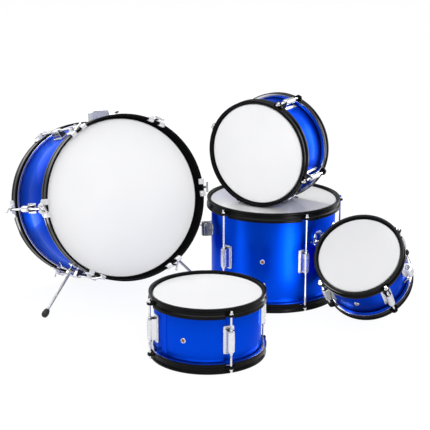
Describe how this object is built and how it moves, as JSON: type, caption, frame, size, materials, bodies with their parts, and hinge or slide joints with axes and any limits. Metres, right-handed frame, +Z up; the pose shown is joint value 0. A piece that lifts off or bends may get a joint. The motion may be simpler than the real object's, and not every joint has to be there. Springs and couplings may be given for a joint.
{
  "type": "drum kit",
  "caption": "Group of double-headed drums in blue wrap with black hoops: bass drum leaning back on spurs, floor tom, snare drum with strainer, and rack toms set on and against the floor tom.",
  "frame": {"origin": "on the floor, under the middle of the whole group", "axes": "+Z up, +X to the right and -Y towards the viewer of the picture"},
  "size_m": [1.0848, 0.8576, 0.5417],
  "materials": {
    "blue_wrap": "metallic blue wrap, glossy",
    "white_film": "coated white drum head",
    "black_hoop": "gloss black",
    "chrome": "polished",
    "steel_rod": "bright, drawn",
    "rubber": "matt black",
    "wires": "bright wire"
  },
  "bodies": {
    "floor_tom": {"floor_tom_batter_head": "white_film", "floor_tom_batter_hoop": "black_hoop", "floor_tom_leg_bracket_1": "chrome", "floor_tom_leg_bracket_2": "chrome", "floor_tom_leg_bracket_3": "chrome", "floor_tom_reso_head": "white_film", "floor_tom_reso_hoop": "black_hoop", "floor_tom_shell": "blue_wrap"},
    "bass": {"bass_front_head": "white_film", "bass_front_hoop": "black_hoop", "bass_rear_head": "white_film", "bass_rear_hoop": "black_hoop", "bass_shell": "blue_wrap", "bass_spur_bracket_left": "chrome", "bass_spur_bracket_right": "chrome", "bass_tom_mount": "chrome"},
    "snare": {"snare_batter_head": "white_film", "snare_batter_hoop": "black_hoop", "snare_reso_head": "white_film", "snare_reso_hoop": "black_hoop", "snare_shell": "blue_wrap", "snare_strainer": "chrome", "snare_wires": "wires"},
    "tom_10": {"tom_10_batter_head": "white_film", "tom_10_batter_hoop": "black_hoop", "tom_10_bracket": "chrome", "tom_10_reso_head": "white_film", "tom_10_reso_hoop": "black_hoop", "tom_10_shell": "blue_wrap"},
    "tom_8": {"tom_8_batter_head": "white_film", "tom_8_batter_hoop": "black_hoop", "tom_8_bracket": "chrome", "tom_8_reso_head": "white_film", "tom_8_reso_hoop": "black_hoop", "tom_8_shell": "blue_wrap"},
    "bass_mount_screw": {"bass_mount_screw": "chrome"},
    "bass_spur_screw_left": {"bass_spur_screw_left": "chrome"},
    "bass_spur_screw_right": {"bass_spur_screw_right": "chrome"},
    "bass_t_rod_front_1": {"bass_t_rod_front_1": "chrome"},
    "bass_t_rod_front_2": {"bass_t_rod_front_2": "chrome"},
    "bass_t_rod_front_3": {"bass_t_rod_front_3": "chrome"},
    "bass_t_rod_front_4": {"bass_t_rod_front_4": "chrome"},
    "bass_t_rod_front_5": {"bass_t_rod_front_5": "chrome"},
    "bass_t_rod_front_6": {"bass_t_rod_front_6": "chrome"},
    "bass_t_rod_rear_1": {"bass_t_rod_rear_1": "chrome"},
    "bass_t_rod_rear_2": {"bass_t_rod_rear_2": "chrome"},
    "bass_t_rod_rear_3": {"bass_t_rod_rear_3": "chrome"},
    "bass_t_rod_rear_4": {"bass_t_rod_rear_4": "chrome"},
    "bass_t_rod_rear_5": {"bass_t_rod_rear_5": "chrome"},
    "bass_t_rod_rear_6": {"bass_t_rod_rear_6": "chrome"},
    "floor_tom_leg_screw_1": {"floor_tom_leg_screw_1": "chrome"},
    "floor_tom_leg_screw_2": {"floor_tom_leg_screw_2": "chrome"},
    "floor_tom_leg_screw_3": {"floor_tom_leg_screw_3": "chrome"},
    "tom_10_bracket_screw": {"tom_10_bracket_screw": "chrome"},
    "tom_8_bracket_screw": {"tom_8_bracket_screw": "chrome"},
    "bass_spur_left": {"bass_spur_left": "steel_rod", "bass_spur_foot_left": "rubber"},
    "bass_spur_right": {"bass_spur_right": "steel_rod", "bass_spur_foot_right": "rubber"},
    "snare_lever": {"snare_lever": "chrome"}
  },
  "joints": [
    {"name": "bass_lift", "type": "slide", "parent": "floor_tom", "child": "bass", "axis": [0, 0, 1], "range_m": [0, 0.2]},
    {"name": "snare_lift", "type": "slide", "parent": "floor_tom", "child": "snare", "axis": [0, 0, 1], "range_m": [0, 0.2]},
    {"name": "tom_10_lift", "type": "slide", "parent": "floor_tom", "child": "tom_10", "axis": [0, 0, 1], "range_m": [0, 0.15]},
    {"name": "tom_8_lift", "type": "slide", "parent": "floor_tom", "child": "tom_8", "axis": [0.4983, -0.5979, 0.6278], "range_m": [0, 0.15]},
    {"name": "bass_mount_screw_turn", "type": "hinge", "parent": "bass", "child": "bass_mount_screw", "pos_m": [-0.25625, 0.23685, 0.46654], "axis": [0.9088, 0.4156, -0.0354], "range_deg": [0, 360]},
    {"name": "bass_spur_left_slide", "type": "slide", "parent": "bass", "child": "bass_spur_left", "axis": [-0.4099, -0.7025, -0.5817], "range_m": [-0.09, 0.02]},
    {"name": "bass_spur_right_slide", "type": "slide", "parent": "bass", "child": "bass_spur_right", "axis": [0.6837, 0.0853, -0.7247], "range_m": [-0.09, 0.005]},
    {"name": "bass_spur_screw_left_turn", "type": "hinge", "parent": "bass", "child": "bass_spur_screw_left", "pos_m": [-0.35095, 0.03428, 0.09508], "axis": [-0.7897, -0.202, 0.5794], "range_deg": [0, 360]},
    {"name": "bass_spur_screw_right_turn", "type": "hinge", "parent": "bass", "child": "bass_spur_screw_right", "pos_m": [-0.08268, 0.16416, 0.10943], "axis": [0.5948, 0.4683, 0.6534], "range_deg": [0, 360]},
    {"name": "bass_t_rod_front_1_turn", "type": "hinge", "parent": "bass", "child": "bass_t_rod_front_1", "pos_m": [0.00995, 0.11944, 0.2976], "axis": [0.4104, -0.8758, 0.2541], "continuous": true},
    {"name": "bass_t_rod_front_2_turn", "type": "hinge", "parent": "bass", "child": "bass_t_rod_front_2", "pos_m": [-0.11366, 0.11507, 0.4822], "axis": [0.4104, -0.8758, 0.2541], "continuous": true},
    {"name": "bass_t_rod_front_3_turn", "type": "hinge", "parent": "bass", "child": "bass_t_rod_front_3", "pos_m": [-0.3145, 0.02008, 0.4792], "axis": [0.4104, -0.8758, 0.2541], "continuous": true},
    {"name": "bass_t_rod_front_4_turn", "type": "hinge", "parent": "bass", "child": "bass_t_rod_front_4", "pos_m": [-0.39175, -0.07055, 0.2916], "axis": [0.4104, -0.8758, 0.2541], "continuous": true},
    {"name": "bass_t_rod_front_5_turn", "type": "hinge", "parent": "bass", "child": "bass_t_rod_front_5", "pos_m": [-0.26814, -0.06619, 0.107], "axis": [0.4104, -0.8758, 0.2541], "continuous": true},
    {"name": "bass_t_rod_front_6_turn", "type": "hinge", "parent": "bass", "child": "bass_t_rod_front_6", "pos_m": [-0.0673, 0.02881, 0.11], "axis": [0.4104, -0.8758, 0.2541], "continuous": true},
    {"name": "bass_t_rod_rear_1_turn", "type": "hinge", "parent": "bass", "child": "bass_t_rod_rear_1", "pos_m": [-0.1289, 0.41572, 0.21164], "axis": [-0.4104, 0.8758, -0.2541], "continuous": true},
    {"name": "bass_t_rod_rear_2_turn", "type": "hinge", "parent": "bass", "child": "bass_t_rod_rear_2", "pos_m": [-0.2525, 0.41135, 0.39624], "axis": [-0.4104, 0.8758, -0.2541], "continuous": true},
    {"name": "bass_t_rod_rear_3_turn", "type": "hinge", "parent": "bass", "child": "bass_t_rod_rear_3", "pos_m": [-0.45335, 0.31635, 0.39324], "axis": [-0.4104, 0.8758, -0.2541], "continuous": true},
    {"name": "bass_t_rod_rear_4_turn", "type": "hinge", "parent": "bass", "child": "bass_t_rod_rear_4", "pos_m": [-0.53059, 0.22572, 0.20564], "axis": [-0.4104, 0.8758, -0.2541], "continuous": true},
    {"name": "bass_t_rod_rear_5_turn", "type": "hinge", "parent": "bass", "child": "bass_t_rod_rear_5", "pos_m": [-0.40699, 0.23009, 0.02104], "axis": [-0.4104, 0.8758, -0.2541], "continuous": true},
    {"name": "bass_t_rod_rear_6_turn", "type": "hinge", "parent": "bass", "child": "bass_t_rod_rear_6", "pos_m": [-0.20614, 0.32509, 0.02404], "axis": [-0.4104, 0.8758, -0.2541], "continuous": true},
    {"name": "floor_tom_leg_screw_1_turn", "type": "hinge", "parent": "floor_tom", "child": "floor_tom_leg_screw_1", "pos_m": [0.26094, 0.31095, 0.1868], "axis": [0.9455, -0.3256, 0], "range_deg": [0, 360]},
    {"name": "floor_tom_leg_screw_2_turn", "type": "hinge", "parent": "floor_tom", "child": "floor_tom_leg_screw_2", "pos_m": [0.00722, 0.11862, 0.1868], "axis": [-0.1908, 0.9816, 0], "range_deg": [0, 360]},
    {"name": "floor_tom_leg_screw_3_turn", "type": "hinge", "parent": "floor_tom", "child": "floor_tom_leg_screw_3", "pos_m": [0.30064, -0.00494, 0.1868], "axis": [-0.7547, -0.6561, 0], "range_deg": [0, 360]},
    {"name": "snare_lever_turn", "type": "hinge", "parent": "snare", "child": "snare_lever", "pos_m": [0.0711, -0.15919, 0.0628], "axis": [-0.9205, 0.3907, 0], "range_deg": [0, 110]},
    {"name": "tom_10_bracket_screw_turn", "type": "hinge", "parent": "tom_10", "child": "tom_10_bracket_screw", "pos_m": [0.22966, 0.07865, 0.28112], "axis": [0.7918, -0.4694, 0.3907], "range_deg": [0, 360]},
    {"name": "tom_8_bracket_screw_turn", "type": "hinge", "parent": "tom_8", "child": "tom_8_bracket_screw", "pos_m": [0.51691, -0.10513, 0.13076], "axis": [-0.2288, -0.6793, -0.6973], "range_deg": [0, 360]}
  ]
}
